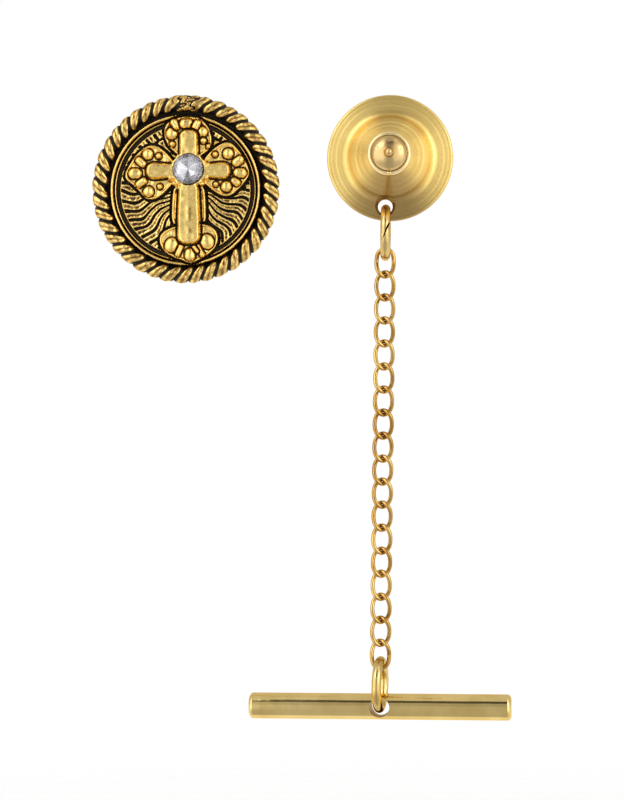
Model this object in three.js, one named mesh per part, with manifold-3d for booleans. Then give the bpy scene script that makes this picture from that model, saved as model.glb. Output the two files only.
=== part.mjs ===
// Tie tack: a round cast tack with a rope edge, a cross and a crystal, its ball-lock clutch,
// and the curb chain and T-bar that hang from the clutch's brim.
//
// Millimetres. The pieces are laid out in a drawing frame: x to the right, y up and z towards
// the person who looks at the tack's face. The last group turns that frame so that +Z is up.
// The origin is the centre of the clutch's mouth, on the face that lies against the tie.

import * as THREE from 'three';
import { mergeVertices } from 'three/addons/utils/BufferGeometryUtils.js';
import Module from 'manifold-3d';

const wasm = await Module();
wasm.setup();

const TAU = 2 * Math.PI;
const ROUND = 48; // sides of a large round piece
const deg = THREE.MathUtils.degToRad;

// ---- driving dimensions -------------------------------------------------------------------

// The tack. Heights are measured from the casting's flat back towards its face.
const TACK_RADIUS = 8.87;
const ROPE_RADIUS = 0.8;
const ROPE_TURNS = 40; // strand crests seen round the rope
const ROPE_STRANDS = 3; // crests met on one trip round the rope's section
const ROPE_GROOVE = 0.2; // groove depth as a share of the rope's radius
const DISC_THICKNESS = 0.95;
const BEZEL_OUTER = 7.05;
const BEZEL_WIDTH = 0.55;
const BEZEL_HEIGHT = 1.5;
const FLANGE_RADIUS = 7.5; // a thin flange that runs under the rope
const FLANGE_THICKNESS = 0.14;
const RELIEF_DROP = 0.12; // the bezel and relief sit this far below the rope's centre
const CROSS_HEIGHT = 1.95;
const CROSS_CENTRE = [0.35, 1.78];
const CROSS_ARM_WIDTH = 1.84;
const CROSS_TOP = 5.55;
const CROSS_BOTTOM = -5.3;
const CROSS_LEFT = -3.75;
const CROSS_RIGHT = 4.3;
const HALO_HEIGHT = 1.45;
const STONE_RADIUS = 1.42;
const STONE_CROWN = 0.5;
const STONE_PAVILION = 1.05;
const STONE_PLAY = 0.03;
const PIN_LENGTH = 8.2;
const PIN_RADIUS = 0.5;
const PIN_PAD_RADIUS = 2.6;
const PIN_PAD_THICKNESS = 0.45;

// The clutch. Heights are measured from its mouth face away from the tie.
const BRIM_RADIUS = 5.67;
const PLATE_THICKNESS = 0.3;
const SHELL_WALL = 0.25;
const STEP_RADIUS = 3.68;
const COLLAR_RADIUS = 1.95;
const COLLAR_TOP = 4.72;
const COLLAR_FLOOR = 4.35;
const KNOB_RADIUS = 1.58;
const KNOB_TOP = 6.3;
const SEAT_BOTTOM = PLATE_THICKNESS + 0.05;
const SEAT_TOP = 2.0;
const SEAT_THROAT = 0.81;
const SEAT_TAPER = deg(18);
const BALL_RADIUS = 0.35;
const BALL_COUNT = 3;
const BALL_HEIGHT = 1.15;
const CAGE_BORE = 0.55;
const CAGE_RADIUS = 0.78;
const FIT = 0.03; // running clearance between the clutch's pieces
const BRIM_BOTTOM = PLATE_THICKNESS + FIT;

// The chain and its T-bar.
const HOLE_CENTRE = [-0.38, -4.39];
const HOLE_RADIUS = 0.67;
const CHAIN_DEPTH = 0.29; // the chain's plane, midway through the brim
const CHAIN_LEAN = deg(-0.7);
const RING_WIRE = 0.425; // wire radius
const RING_RADIUS = 2.125; // to the middle of the wire
const RING_SLIT = deg(4);
const LINK_COUNT = 18;
const LINK_WIRE = 0.185;
const LINK_WIDTH = 1.85;
const LINK_PITCH = 2.075;
const LINK_PLAY = 0.03;
const LINK_TWIST = deg(40);
const LINK_STEPS = 16;
const LOWER_RING_YAW = deg(-8);
const BAR_LENGTH = 23.7;
const BAR_RADIUS = 1.17;
const BAR_CHAMFER = 0.3;
const BAR_HOLE_RADIUS = 0.88;
const BAR_YAW = deg(-4);

// Where the loose tack lies beside the clutch.
const TACK_POSITION = [-19.46, -1.89, -9.7];

// ---- materials ----------------------------------------------------------------------------

function finish(color, roughness, metalness) {
  return new THREE.MeshStandardMaterial({ color, roughness, metalness });
}

const antiqueGold = finish(0xb08a3e, 0.35, 1);
const brushedGold = finish(0xd8b256, 0.32, 1);
const polishedGold = finish(0xd9b45c, 0.15, 1);
const chainGold = finish(0xcf9f45, 0.2, 1);
const paleGold = finish(0xc9b07a, 0.15, 1);
const steel = finish(0xb8b8b8, 0.2, 1);
const crystalGlass = finish(0xe8e8f0, 0.05, 0);

// ---- tools ----------------------------------------------------------------------------------

// Makes one closed solid out of a geometry, ready to be joined or cut.
function solid(geometry) {
  const bare = geometry.clone();
  bare.deleteAttribute('normal');
  bare.deleteAttribute('uv');
  const merged = mergeVertices(bare, 1e-4);
  const vertProperties = new Float32Array(merged.attributes.position.array);
  const triVerts = new Uint32Array(merged.index.array);
  return new wasm.Manifold(new wasm.Mesh({ numProp: 3, vertProperties, triVerts }));
}

function geometryOf(manifold) {
  const mesh = manifold.getMesh();
  const geometry = new THREE.BufferGeometry();
  geometry.setAttribute('position', new THREE.BufferAttribute(mesh.vertProperties, 3));
  geometry.setIndex(new THREE.BufferAttribute(mesh.triVerts, 1));
  return geometry;
}

// Turns an outline of [radius, height] pairs about the z axis.
function turned(profile, segments) {
  const points = profile.map(([radius, height]) => new THREE.Vector2(radius, height));
  const geometry = new THREE.LatheGeometry(points, segments);
  return geometry.rotateX(Math.PI / 2);
}

// Turns a closed outline: the last point joins back to the first.
const turnedRing = (profile, segments) => turned([...profile, profile[0]], segments);

// A drill of the given radius along z, from one height to another.
function drill([x, y], radius, low, high, segments = 24) {
  const geometry = new THREE.CylinderGeometry(radius, radius, high - low, segments);
  geometry.rotateX(Math.PI / 2);
  return geometry.translate(x, y, (low + high) / 2);
}

function slab(shape, low, high, bevel = 0, curveSegments = 10) {
  const options = { depth: high - low - bevel, bevelEnabled: bevel > 0, curveSegments };
  Object.assign(options, { bevelThickness: bevel, bevelSize: bevel, bevelOffset: -bevel, bevelSegments: 1 });
  return new THREE.ExtrudeGeometry(shape, options).translate(0, 0, low);
}

function part(name, geometry, material) {
  const mesh = new THREE.Mesh(geometry, material);
  mesh.name = name;
  return mesh;
}

// ---- tack -----------------------------------------------------------------------------------

// A bar with round ends, from one end point to the other.
function roundBar([x0, y0], [x1, y1], radius) {
  const along = Math.atan2(y1 - y0, x1 - x0);
  const shape = new THREE.Shape();
  shape.absarc(x0, y0, radius, along + Math.PI / 2, along + 1.5 * Math.PI);
  shape.absarc(x1, y1, radius, along - Math.PI / 2, along + Math.PI / 2);
  shape.closePath();
  return shape;
}

function discShape(x, y, radius) {
  const shape = new THREE.Shape();
  shape.absarc(x, y, radius, 0, TAU);
  return shape;
}

function medallion() {
  const [seatX, seatY] = CROSS_CENTRE;
  const half = CROSS_ARM_WIDTH / 2;
  const rim = BEZEL_OUTER - BEZEL_WIDTH;
  const easing = 0.15;
  const dish = turned([
    [0, 0],
    [FLANGE_RADIUS, 0],
    [FLANGE_RADIUS, FLANGE_THICKNESS],
    [BEZEL_OUTER, FLANGE_THICKNESS],
    [BEZEL_OUTER, BEZEL_HEIGHT - easing],
    [BEZEL_OUTER - easing, BEZEL_HEIGHT],
    [rim + easing, BEZEL_HEIGHT],
    [rim, BEZEL_HEIGHT - easing],
    [rim, DISC_THICKNESS],
    [0, DISC_THICKNESS],
  ], ROUND).translate(0, -RELIEF_DROP, 0);
  const post = roundBar([seatX, CROSS_BOTTOM + half], [seatX, CROSS_TOP - half], half);
  const arms = roundBar([CROSS_LEFT + half, seatY], [CROSS_RIGHT - half, seatY], half);
  const low = DISC_THICKNESS - 0.1;
  let casting = solid(dish);
  const halos = [
    [seatX, CROSS_TOP - 1.5, 1.95],
    [CROSS_LEFT + 1.0, seatY, 2.1],
    [CROSS_RIGHT - 1.0, seatY, 2.1],
    [seatX, CROSS_BOTTOM + 1.2, 1.75],
  ];
  for (const [x, y, radius] of halos) {
    casting = casting.add(solid(slab(discShape(x, y, radius), low, HALO_HEIGHT, 0, 14)));
  }
  casting = casting.add(solid(slab(post, low, CROSS_HEIGHT, 0.2, 8)));
  casting = casting.add(solid(slab(arms, low, CROSS_HEIGHT, 0.2, 8)));
  casting = casting.add(solid(drill([seatX, seatY], STONE_RADIUS + 0.3, low, CROSS_HEIGHT, 32)));
  return geometryOf(casting.subtract(solid(stoneSeat())));
}

// The seat that the stone drops into: its own outline, a little larger.
function stoneSeat() {
  const girdle = STONE_RADIUS + STONE_PLAY;
  const seat = turned([
    [0, CROSS_HEIGHT - STONE_PAVILION - 2 * STONE_PLAY],
    [girdle, CROSS_HEIGHT - STONE_PLAY],
    [girdle, CROSS_HEIGHT + 1],
    [0, CROSS_HEIGHT + 1],
  ], 16);
  return seat.translate(CROSS_CENTRE[0], CROSS_CENTRE[1], 0);
}

function crystal() {
  const table = 0.56 * STONE_RADIUS;
  const stone = turned([
    [0, CROSS_HEIGHT - STONE_PAVILION],
    [STONE_RADIUS, CROSS_HEIGHT],
    [STONE_RADIUS, CROSS_HEIGHT + 0.06],
    [table, CROSS_HEIGHT + STONE_CROWN],
    [0, CROSS_HEIGHT + STONE_CROWN],
  ], 16);
  return stone.translate(CROSS_CENTRE[0], CROSS_CENTRE[1], 0);
}

// A closed circle that the rope runs along.
class Circle extends THREE.Curve {
  constructor(radius) {
    super();
    this.radius = radius;
  }

  getPoint(t, target = new THREE.Vector3()) {
    return target.set(this.radius * Math.cos(TAU * t), this.radius * Math.sin(TAU * t), 0);
  }
}

function ropeBorder() {
  const middle = TACK_RADIUS - ROPE_RADIUS;
  const rope = new THREE.TubeGeometry(new Circle(middle), 4 * ROPE_TURNS, ROPE_RADIUS, 8, true);
  const position = rope.attributes.position;
  for (let i = 0; i < position.count; i++) {
    const x = position.getX(i);
    const y = position.getY(i);
    const z = position.getZ(i);
    const around = Math.atan2(y, x);
    const out = Math.hypot(x, y) - middle;
    const section = Math.atan2(z, out);
    const groove = 0.5 - 0.5 * Math.cos(ROPE_TURNS * around - ROPE_STRANDS * section);
    const radius = ROPE_RADIUS * (1 - ROPE_GROOVE * groove);
    const reach = middle + radius * Math.cos(section);
    position.setXYZ(i, reach * Math.cos(around), reach * Math.sin(around), radius * Math.sin(section));
  }
  return rope.translate(0, 0, ROPE_RADIUS);
}

// One headed pin: a pad that is soldered to the casting's back, and a grooved, pointed post.
function tackPin() {
  const back = -FIT;
  const pad = back - PIN_PAD_THICKNESS;
  const tip = back - PIN_LENGTH;
  const groove = 0.1;
  return turned([
    [0, tip],
    [0.12, tip + 0.08],
    [PIN_RADIUS, tip + 1.5],
    [PIN_RADIUS, tip + 2.0],
    [PIN_RADIUS - groove, tip + 2.1],
    [PIN_RADIUS - groove, tip + 2.4],
    [PIN_RADIUS, tip + 2.5],
    [PIN_RADIUS, pad - 0.2],
    [PIN_RADIUS + 0.2, pad],
    [PIN_PAD_RADIUS - 0.1, pad],
    [PIN_PAD_RADIUS, pad + 0.1],
    [PIN_PAD_RADIUS, back],
    [0, back],
  ], 18);
}

function tack() {
  const group = new THREE.Group();
  group.add(part('medallion', medallion(), antiqueGold));
  group.add(part('rope_border', ropeBorder(), antiqueGold));
  group.add(part('crystal', crystal(), crystalGlass));
  group.add(part('tack_pin', tackPin(), paleGold));
  group.position.set(...TACK_POSITION);
  return group;
}

// ---- clutch ---------------------------------------------------------------------------------

// The plate that lies against the tie. Its edge is rolled over the shell's brim.
function clutchBase() {
  const lip = 0.1;
  const rolled = BRIM_BOTTOM + SHELL_WALL + FIT + lip;
  const inner = BRIM_RADIUS - 0.28;
  const wall = BRIM_RADIUS - 0.14;
  const plate = turnedRing([
    [0.6, PLATE_THICKNESS],
    [0.6, 0.2],
    [0.95, 0],
    [BRIM_RADIUS - 0.12, 0],
    [BRIM_RADIUS, 0.12],
    [BRIM_RADIUS, rolled - 0.12],
    [BRIM_RADIUS - 0.12, rolled],
    [inner, rolled],
    [inner, rolled - lip],
    [wall, rolled - lip],
    [wall, PLATE_THICKNESS],
  ], ROUND);
  return geometryOf(solid(plate).subtract(solid(chainHole())));
}

const chainHole = () => drill(HOLE_CENTRE, HOLE_RADIUS, -1, 3);

// The drawn shell: brim, step, cone and the collar that guides the knob.
function clutchShell() {
  const edge = BRIM_RADIUS - 0.17;
  const brimTop = BRIM_BOTTOM + SHELL_WALL;
  const stepTop = 1.75;
  const coneTop = 3.85;
  const shell = turnedRing([
    [edge, BRIM_BOTTOM],
    [edge, brimTop],
    [STEP_RADIUS + 0.05, brimTop + 0.05],
    [STEP_RADIUS, stepTop - 0.25],
    [STEP_RADIUS - 0.25, stepTop],
    [COLLAR_RADIUS + 0.1, coneTop],
    [COLLAR_RADIUS, coneTop + 0.15],
    [COLLAR_RADIUS, COLLAR_TOP - 0.1],
    [COLLAR_RADIUS - 0.1, COLLAR_TOP],
    [KNOB_RADIUS + FIT + 0.08, COLLAR_TOP],
    [KNOB_RADIUS + FIT, COLLAR_TOP - 0.08],
    [KNOB_RADIUS + FIT, COLLAR_FLOOR],
    [CAGE_RADIUS + FIT, COLLAR_FLOOR],
    [CAGE_RADIUS + FIT, COLLAR_FLOOR - SHELL_WALL],
    [KNOB_RADIUS, COLLAR_FLOOR - SHELL_WALL],
    [COLLAR_RADIUS - SHELL_WALL, coneTop - 0.1],
    [STEP_RADIUS - 0.4, stepTop - 0.3],
    [STEP_RADIUS - SHELL_WALL, BRIM_BOTTOM],
  ], ROUND);
  return geometryOf(solid(shell).subtract(solid(chainHole())));
}

const seatBore = (height) => SEAT_THROAT + (height - SEAT_BOTTOM) * Math.tan(SEAT_TAPER);

// The fixed taper that the balls wedge into, narrow end towards the mouth.
function lockSeat() {
  return turnedRing([
    [seatBore(SEAT_BOTTOM), SEAT_BOTTOM],
    [1.75, SEAT_BOTTOM],
    [1.75, SEAT_TOP - 0.15],
    [1.6, SEAT_TOP],
    [seatBore(SEAT_TOP), SEAT_TOP],
  ], 24);
}

// The tube that carries the balls in its windows, with a shoulder for the spring.
function ballCage() {
  const shoulder = 1.3;
  const foot = SEAT_BOTTOM + 0.12;
  const tube = turnedRing([
    [CAGE_BORE, foot],
    [CAGE_RADIUS, foot],
    [CAGE_RADIUS, 2.12],
    [shoulder, 2.12],
    [shoulder, 2.32],
    [CAGE_RADIUS, 2.32],
    [CAGE_RADIUS, 5.2],
    [CAGE_BORE, 5.2],
  ], 24);
  let cage = solid(tube);
  for (let i = 0; i < BALL_COUNT; i++) {
    const window = new THREE.CylinderGeometry(BALL_RADIUS + FIT, BALL_RADIUS + FIT, 2, 16);
    window.translate(0, 1, 0).rotateZ(ballAngle(i) - Math.PI / 2).translate(0, 0, BALL_HEIGHT);
    cage = cage.subtract(solid(window));
  }
  return geometryOf(cage);
}

const ballAngle = (i) => Math.PI / 2 + (i * TAU) / BALL_COUNT;

function lockBall(i) {
  const reach = seatBore(BALL_HEIGHT) - BALL_RADIUS / Math.cos(SEAT_TAPER) - FIT;
  const ball = new THREE.SphereGeometry(BALL_RADIUS, 10, 6);
  return ball.translate(reach * Math.cos(ballAngle(i)), reach * Math.sin(ballAngle(i)), BALL_HEIGHT);
}

class Helix extends THREE.Curve {
  constructor(radius, turns, low, high) {
    super();
    Object.assign(this, { radius, turns, low, high });
  }

  getPoint(t, target = new THREE.Vector3()) {
    const angle = TAU * this.turns * t;
    const height = THREE.MathUtils.lerp(this.low, this.high, t);
    return target.set(this.radius * Math.cos(angle), this.radius * Math.sin(angle), height);
  }
}

function polygon(radius, sides) {
  const shape = new THREE.Shape();
  for (let i = 0; i < sides; i++) {
    const angle = (i * TAU) / sides;
    const point = [radius * Math.cos(angle), radius * Math.sin(angle)];
    if (i === 0) {
      shape.moveTo(...point);
    } else {
      shape.lineTo(...point);
    }
  }
  shape.closePath();
  return shape;
}

function clutchSpring() {
  const turns = 4;
  const path = new Helix(1.05, turns, 2.47, 3.9);
  const options = { steps: 10 * turns, extrudePath: path, bevelEnabled: false };
  return new THREE.ExtrudeGeometry(polygon(0.1, 5), options);
}

// The pull knob: a dome with a nipple, bored to sit on the cage's stem.
function knob() {
  const base = COLLAR_FLOOR + 2 * FIT;
  const profile = [
    [0, 5.75],
    [CAGE_RADIUS + FIT, 5.3],
    [CAGE_RADIUS + FIT, base],
    [KNOB_RADIUS, base],
    [KNOB_RADIUS, COLLAR_TOP],
  ];
  const domeHeight = 0.95;
  const nippleRadius = 0.42;
  for (let i = 1; i <= 5; i++) {
    const angle = (i / 6) * (Math.PI / 2);
    profile.push([KNOB_RADIUS * Math.cos(angle), COLLAR_TOP + domeHeight * Math.sin(angle)]);
  }
  profile.push([nippleRadius, COLLAR_TOP + domeHeight]);
  for (let i = 1; i <= 4; i++) {
    const angle = (i / 4) * (Math.PI / 2);
    const rise = (KNOB_TOP - COLLAR_TOP - domeHeight) * Math.sin(angle);
    profile.push([i < 4 ? nippleRadius * Math.cos(angle) : 0, COLLAR_TOP + domeHeight + rise]);
  }
  return turned(profile, 24);
}

function clutch() {
  const group = new THREE.Group();
  group.add(part('clutch_base', clutchBase(), brushedGold));
  group.add(part('clutch_shell', clutchShell(), brushedGold));
  group.add(part('lock_seat', lockSeat(), steel));
  group.add(part('ball_cage', ballCage(), steel));
  for (let i = 0; i < BALL_COUNT; i++) {
    group.add(part(`lock_ball_${i + 1}`, lockBall(i), steel));
  }
  group.add(part('clutch_spring', clutchSpring(), steel));
  group.add(part('knob', knob(), paleGold));
  return group;
}

// ---- chain ----------------------------------------------------------------------------------

// An open ring of wire in the y-z plane. The slit that closes it faces the viewer.
class OpenRing extends THREE.Curve {
  getPoint(t, target = new THREE.Vector3()) {
    const angle = RING_SLIT / 2 + t * (TAU - RING_SLIT);
    return target.set(0, RING_RADIUS * Math.sin(angle), RING_RADIUS * Math.cos(angle));
  }
}

function jumpRing() {
  const options = { steps: 28, extrudePath: new OpenRing(), bevelEnabled: false };
  return new THREE.ExtrudeGeometry(polygon(RING_WIRE, 8), options);
}

const LINK_HALF_WIDTH = LINK_WIDTH / 2 - LINK_WIRE;
const LINK_HALF_LENGTH = LINK_PITCH / 2 + LINK_WIRE + LINK_PLAY / 2;

// The middle of one link's wire: a long loop with round ends, twisted about its length.
class LinkPath extends THREE.Curve {
  constructor(topTwist, bottomTwist) {
    super();
    Object.assign(this, { topTwist, bottomTwist });
  }

  getPoint(t, target = new THREE.Vector3()) {
    const straight = LINK_HALF_LENGTH - LINK_HALF_WIDTH;
    const angle = TAU * t;
    const side = LINK_HALF_WIDTH * Math.cos(angle);
    const end = Math.sin(angle);
    const y = LINK_HALF_WIDTH * end + straight * Math.tanh(2.5 * end) / Math.tanh(2.5);
    const share = y / LINK_HALF_LENGTH;
    const twist = share * (share > 0 ? this.topTwist : -this.bottomTwist);
    return target.set(side * Math.cos(twist), y, side * Math.sin(twist));
  }
}

function chainLink(index) {
  const topTwist = index === 0 ? 0 : LINK_TWIST;
  const bottomTwist = index === LINK_COUNT - 1 ? 0 : -LINK_TWIST;
  const path = new LinkPath(topTwist, bottomTwist);
  return new THREE.TubeGeometry(path, LINK_STEPS, LINK_WIRE, 6, true);
}

function toggleBar() {
  const half = BAR_LENGTH / 2;
  const bar = turned([
    [0, -half],
    [BAR_RADIUS - BAR_CHAMFER, -half],
    [BAR_RADIUS, -half + BAR_CHAMFER],
    [BAR_RADIUS, half - BAR_CHAMFER],
    [BAR_RADIUS - BAR_CHAMFER, half],
    [0, half],
  ], 28).rotateY(Math.PI / 2);
  const hole = drill([0, 0], BAR_HOLE_RADIUS, -2 * BAR_RADIUS, 2 * BAR_RADIUS);
  return geometryOf(solid(bar).subtract(solid(hole)));
}

// Everything hangs in a group that starts at the hole in the brim.
function chain() {
  const group = new THREE.Group();
  const upperRingY = RING_WIRE - HOLE_RADIUS + 0.05 - RING_RADIUS;
  const firstLinkY = upperRingY - RING_RADIUS + RING_WIRE + LINK_WIRE + LINK_PLAY - LINK_HALF_LENGTH;
  const lastLinkY = firstLinkY - (LINK_COUNT - 1) * LINK_PITCH;
  const lowerRingY = lastLinkY - LINK_HALF_LENGTH + LINK_WIRE + RING_WIRE + LINK_PLAY - RING_RADIUS;
  const barY = lowerRingY - RING_RADIUS + 0.15;

  const upperRing = part('upper_ring', jumpRing(), chainGold);
  upperRing.position.set(0, upperRingY, 0);
  group.add(upperRing);

  for (let i = 0; i < LINK_COUNT; i++) {
    const link = part(`chain_link_${String(i + 1).padStart(2, '0')}`, chainLink(i), chainGold);
    link.position.set(0, firstLinkY - i * LINK_PITCH, 0);
    group.add(link);
  }

  const lowerRing = part('lower_ring', jumpRing(), chainGold);
  lowerRing.position.set(0, lowerRingY, 0);
  lowerRing.rotation.set(0, LOWER_RING_YAW, 0);
  group.add(lowerRing);

  const bar = part('toggle_bar', toggleBar(), polishedGold);
  bar.position.set(0, barY, 0);
  bar.rotation.set(0, BAR_YAW, 0);
  group.add(bar);

  group.position.set(HOLE_CENTRE[0], HOLE_CENTRE[1], CHAIN_DEPTH);
  group.rotation.z = CHAIN_LEAN;
  return group;
}

// ---- assembly -------------------------------------------------------------------------------

const tieTack = new THREE.Group();
tieTack.add(tack(), clutch(), chain());
tieTack.rotation.x = Math.PI / 2;

export default tieTack;
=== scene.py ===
"""Looks for the tie tack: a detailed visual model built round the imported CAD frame.

Shapes are laid out in millimetres in the drawing frame of the CAD source (x right, y up, z towards
the person who looks at the tack's face) and are moved to the frame's metres at the end.
"""

import math

import bmesh
import bpy
import numpy as np
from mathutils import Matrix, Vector


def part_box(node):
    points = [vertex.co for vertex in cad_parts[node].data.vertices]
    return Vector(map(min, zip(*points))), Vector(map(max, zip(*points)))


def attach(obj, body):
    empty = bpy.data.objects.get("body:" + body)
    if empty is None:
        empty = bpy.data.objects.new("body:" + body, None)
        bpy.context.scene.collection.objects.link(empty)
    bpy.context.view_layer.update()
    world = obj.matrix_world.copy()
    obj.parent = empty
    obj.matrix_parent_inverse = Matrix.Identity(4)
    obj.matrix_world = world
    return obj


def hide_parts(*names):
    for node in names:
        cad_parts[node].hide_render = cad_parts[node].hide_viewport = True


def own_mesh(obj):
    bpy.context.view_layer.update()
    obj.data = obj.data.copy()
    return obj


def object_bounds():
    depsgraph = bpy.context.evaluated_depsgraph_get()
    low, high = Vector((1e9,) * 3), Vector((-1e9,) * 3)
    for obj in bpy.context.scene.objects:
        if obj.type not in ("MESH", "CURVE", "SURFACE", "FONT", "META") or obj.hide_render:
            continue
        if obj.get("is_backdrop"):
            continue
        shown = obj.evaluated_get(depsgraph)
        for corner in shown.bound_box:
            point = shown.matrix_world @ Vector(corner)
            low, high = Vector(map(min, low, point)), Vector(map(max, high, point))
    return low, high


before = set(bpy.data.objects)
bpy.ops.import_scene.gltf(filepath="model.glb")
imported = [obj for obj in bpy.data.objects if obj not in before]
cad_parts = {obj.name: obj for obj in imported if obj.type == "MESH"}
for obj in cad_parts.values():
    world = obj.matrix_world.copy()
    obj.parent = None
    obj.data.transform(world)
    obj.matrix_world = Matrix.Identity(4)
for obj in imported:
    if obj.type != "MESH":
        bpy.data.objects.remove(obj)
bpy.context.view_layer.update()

MM = 0.001
TAU = 2 * math.pi
SHARP = math.radians(38)

# ---- dimensions, in millimetres ----

# The tack's casting. Heights are above its flat back.
ROPE_RADIUS = 0.8
ROPE_TURNS = 40
ROPE_SLANT = 0.85  # how far a strand leans across the rope, in strand widths
STRAND_DEPTH = 0.3
RELIEF_DROP = 0.12  # how far the casting stands below the rope's middle
BEZEL_OUTER = 7.15
FLANGE_RADIUS = 7.8
FLANGE_TOP = 0.3
BEZEL_INNER = 6.78
BEZEL_TOP = 1.5
FIELD_RADIUS = 6.12
FLOOR_LEVEL = 0.88
RAY_LEVEL = 1.24
RAY_COUNT = 41
RAY_CENTRE = (0.35, 0.1)
HALO_LEVEL = 1.3
HALO_RIDGE = 1.5  # top of the ridge round each halo
RIDGE_HALF = 0.17
MOAT = 0.075  # the dark line round each lobe
CROSS_MOAT = 0.085  # and round the cross's limbs
MOAT_LEVEL = 1.15
LOBE_TOP = 1.66
CROSS_TOP_LEVEL = 1.95
LIMB_HALF = 1.03
ARM_HALF = 0.84
SEAT_TOP = 1.86
RELIEF_GRID = 184  # rings in the casting's face
RASTER_STEP = 0.025

# The clutch. Heights are above its mouth face.
PLATE = 0.3
WALL = 0.25
BRIM_LOW = 0.33
STEP_RADIUS = 3.68
COLLAR_RADIUS = 1.95
COLLAR_TOP = 4.72
COLLAR_FLOOR = 4.35
KNOB_RADIUS = 1.58
KNOB_DOME = 0.95  # the dome's rise above the collar
KNOB_TIP = 0.42
CAGE_BORE = 0.55
CAGE_RADIUS = 0.78
FIT = 0.03
BALL_RADIUS = 0.35
BALL_HEIGHT = 1.15
HOLE_RADIUS = 0.67
SEAT_TAPER = math.radians(18)

# The chain and T-bar.
LEAN = math.radians(-0.7)
RING_WIRE = 0.425
RING_RADIUS = 2.125
LINK_COUNT = 18
LINK_WIRE = 0.19
LINK_HALF_WIDTH = 0.78
LINK_HALF_LENGTH = 1.2375
LINK_TWIST = math.radians(40)
RING_YAW = math.radians(-8)
BAR_YAW = math.radians(-4)
BAR_LEAN = math.radians(0.4)
BAR_LENGTH = 23.7
BAR_RADIUS = 1.17
BAR_CAP = 0.34
BAR_HOLE = 0.92
BAR_HOLE_BACK = 0.84
BAR_HOLE_SHIFT = 0.04

# The camera: where it looks, how far away it stands and how far round, in the frame.
CAMERA_TARGET = Vector((-7.018, -0.9, -21.785))
CAMERA_DISTANCE = 215
CAMERA_YAW = math.radians(3)
CAMERA_LENS = 107.5


# ---- numbers and meshes ----

def smooth(low, high, value):
    share = np.clip((value - low) / (high - low), 0, 1)
    return share * share * (3 - 2 * share)


def centre_of(node):
    """A CAD node's middle in the drawing frame, in millimetres."""
    low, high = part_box(node)
    middle = (low + high) / 2 / MM
    return np.array([middle.x, middle.z, -middle.y])


def size_of(node):
    low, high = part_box(node)
    span = (high - low) / MM
    return np.array([span.x, span.z, span.y])


def to_frame(points):
    points = np.asarray(points, float)
    return np.column_stack((points[:, 0], -points[:, 2], points[:, 1])) * MM


def turn_z(points, angle):
    c, s = math.cos(angle), math.sin(angle)
    return points @ np.array([[c, s, 0], [-s, c, 0], [0, 0, 1]])


def turn_y(points, angle):
    c, s = math.cos(angle), math.sin(angle)
    return points @ np.array([[c, 0, -s], [0, 1, 0], [s, 0, c]])


def grid_faces(rows, columns, wrap_rows=False, wrap_columns=True):
    """Quads over a grid of points, row after row."""
    r = np.arange(rows if wrap_rows else rows - 1)
    c = np.arange(columns if wrap_columns else columns - 1)
    r, c = np.meshgrid(r, c, indexing="ij")
    r2, c2 = (r + 1) % rows, (c + 1) % columns
    corners = (r * columns + c, r * columns + c2, r2 * columns + c2, r2 * columns + c)
    return np.stack(corners, -1).reshape(-1, 4)


def rounded(outline, reach=0.05, steps=4, closed=False):
    """An outline with its corners eased. A point's third value is its own reach."""
    points = [np.array(p[:2], float) for p in outline]
    reaches = [p[2] if len(p) > 2 else reach for p in outline]
    made = []
    for i, corner in enumerate(points):
        if not closed and i in (0, len(points) - 1):
            made.append(corner)
            continue
        before = points[i - 1] - corner
        after = points[(i + 1) % len(points)] - corner
        cut = min(reaches[i], 0.45 * np.linalg.norm(before), 0.45 * np.linalg.norm(after))
        start = corner + before / np.linalg.norm(before) * cut
        end = corner + after / np.linalg.norm(after) * cut
        for t in np.linspace(0, 1, steps + 1):
            made.append((1 - t) ** 2 * start + 2 * t * (1 - t) * corner + t * t * end)
    return np.array(made)


def turned(profile, segments=128, closed=False):
    """Points and faces of a profile of radius and height turned about the z axis."""
    angle = np.arange(segments) * TAU / segments
    radius, height = np.asarray(profile).T
    x = np.outer(radius, np.cos(angle))
    y = np.outer(radius, np.sin(angle))
    z = np.repeat(height[:, None], segments, axis=1)
    points = np.stack((x, y, z), -1).reshape(-1, 3)
    return points, grid_faces(len(radius), segments, wrap_rows=closed)


def swept(path, radius, sides, closed):
    """A round wire along a path: rings of points that turn as little as they can."""
    path = np.asarray(path, float)
    if closed:
        ahead = np.roll(path, -1, 0) - np.roll(path, 1, 0)
    else:
        ahead = np.gradient(path, axis=0)
    ahead /= np.linalg.norm(ahead, axis=1)[:, None]
    side = np.cross(ahead[0], [0.3, 0.2, 1.0])
    rings = []
    angle = np.arange(sides) * TAU / sides
    for point, direction in zip(path, ahead):
        side = side - direction * (side @ direction)
        side /= np.linalg.norm(side)
        up = np.cross(direction, side)
        rings.append(point + radius * (np.outer(np.cos(angle), side) + np.outer(np.sin(angle), up)))
    return np.concatenate(rings), rings


def tube(path, radius, sides, closed):
    points, rings = swept(path, radius, sides, closed)
    faces = grid_faces(len(rings), sides, wrap_rows=closed).tolist()
    if not closed:
        faces.append(list(range(sides)))
        faces.append(list(range(len(points) - sides, len(points))))
    return points, faces


def mesh_object(name, points, faces, materials):
    mesh = bpy.data.meshes.new(name)
    mesh.from_pydata(to_frame(points).tolist(), [], [list(f) for f in faces])
    for material in materials:
        mesh.materials.append(material)
    obj = bpy.data.objects.new(name, mesh)
    bpy.context.scene.collection.objects.link(obj)
    return obj


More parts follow.
